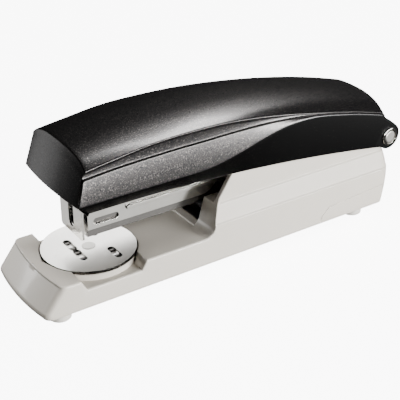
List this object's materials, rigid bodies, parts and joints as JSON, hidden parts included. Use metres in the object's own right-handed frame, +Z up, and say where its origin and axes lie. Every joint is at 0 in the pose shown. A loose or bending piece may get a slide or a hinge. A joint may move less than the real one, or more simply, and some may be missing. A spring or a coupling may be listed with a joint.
{
  "type": "desk stapler",
  "caption": "Desk stapler with a long arched handle on a rear hinge, a steel staple magazine, a turning anvil disc and a plastic base on small feet.",
  "frame": {"origin": "on the table, under the middle of the overall length and width", "axes": "+X from the nose to the hinge, +Y to the stapler's right as seen from behind it, +Z up"},
  "size_m": [0.1554, 0.0392, 0.0591],
  "materials": {
    "base_plastic": "moulded, pale warm grey, fine satin",
    "cover_plastic": "black with a fine pearl, semi-gloss",
    "black_plastic": "moulded black",
    "foot_rubber": "pale grey, matt",
    "nickel_steel": "nickel plated, bright",
    "zinc_steel": "zinc plated, dull",
    "spring_steel": "drawn wire and hardened strip",
    "staple_steel": "galvanised wire"
  },
  "bodies": {
    "base": {"base_shell": "base_plastic", "rear_cap": "base_plastic", "bottom_plate": "base_plastic", "chassis": "zinc_steel", "base_screws": "zinc_steel", "hinge_pin": "nickel_steel", "pin_ring_left": "nickel_steel", "pin_ring_right": "nickel_steel", "anvil_seat": "base_plastic", "foot_front_left": "foot_rubber", "foot_front_right": "foot_rubber", "foot_rear_left": "foot_rubber", "foot_rear_right": "foot_rubber"},
    "anvil_lifter": {"anvil_stud": "nickel_steel", "anvil_button": "base_plastic", "anvil_spring": "spring_steel"},
    "anvil": {"anvil_disc": "nickel_steel"},
    "lift_link": {"lift_bush": "black_plastic", "lift_spring": "spring_steel"},
    "magazine": {"staple_channel": "nickel_steel", "magazine_housing": "nickel_steel", "nose_plate": "nickel_steel", "nose_rivets": "nickel_steel", "staple_core": "nickel_steel", "staple_strip": "staple_steel", "rod_stop_front": "zinc_steel", "rod_stop_rear": "zinc_steel", "guide_rod": "nickel_steel", "rear_bracket": "black_plastic", "pusher_spring": "spring_steel"},
    "pusher": {"pusher": "black_plastic"},
    "press_link": {"return_bush_left": "black_plastic", "return_bush_right": "black_plastic", "return_spring": "spring_steel"},
    "handle": {"top_cover": "cover_plastic", "cover_screws": "zinc_steel", "lever_frame": "zinc_steel", "driver_blade": "spring_steel", "driver_rivets": "nickel_steel"}
  },
  "joints": [
    {"name": "magazine_press", "type": "hinge", "parent": "base", "child": "lift_link", "pos_m": [0.0725, 0, 0.0302], "axis": [0, 1, 0], "range_deg": [-2.6, 0], "stiffness_Nm_per_rad": 3, "springref_deg": 3.44, "deforming": ["lift_spring"]},
    {"name": "tacking_swing", "type": "hinge", "parent": "lift_link", "child": "magazine", "pos_m": [0.0725, 0, 0.0302], "axis": [0, 1, 0], "range_deg": [0, 90]},
    {"name": "handle_press", "type": "hinge", "parent": "magazine", "child": "press_link", "pos_m": [0.0725, 0, 0.0302], "axis": [0, 1, 0], "range_deg": [-3.1, 0], "stiffness_Nm_per_rad": 3, "springref_deg": 4.58, "deforming": ["return_spring"]},
    {"name": "handle_open", "type": "hinge", "parent": "press_link", "child": "handle", "pos_m": [0.0725, 0, 0.0302], "axis": [0, 1, 0], "range_deg": [0, 75]},
    {"name": "pusher_slide", "type": "slide", "parent": "magazine", "child": "pusher", "axis": [1, 0, 0], "range_m": [0, 0.03], "stiffness_N_per_m": 60, "springref_m": -0.04, "deforming": ["pusher_spring"]},
    {"name": "anvil_lift", "type": "slide", "parent": "base", "child": "anvil_lifter", "axis": [0, 0, 1], "range_m": [0, 0.0012], "stiffness_N_per_m": 1500, "springref_m": -0.002, "deforming": ["anvil_spring"]},
    {"name": "anvil_turn", "type": "hinge", "parent": "anvil_lifter", "child": "anvil", "pos_m": [-0.04955, 0, 0.0136], "axis": [0, 0, 1], "continuous": true}
  ]
}
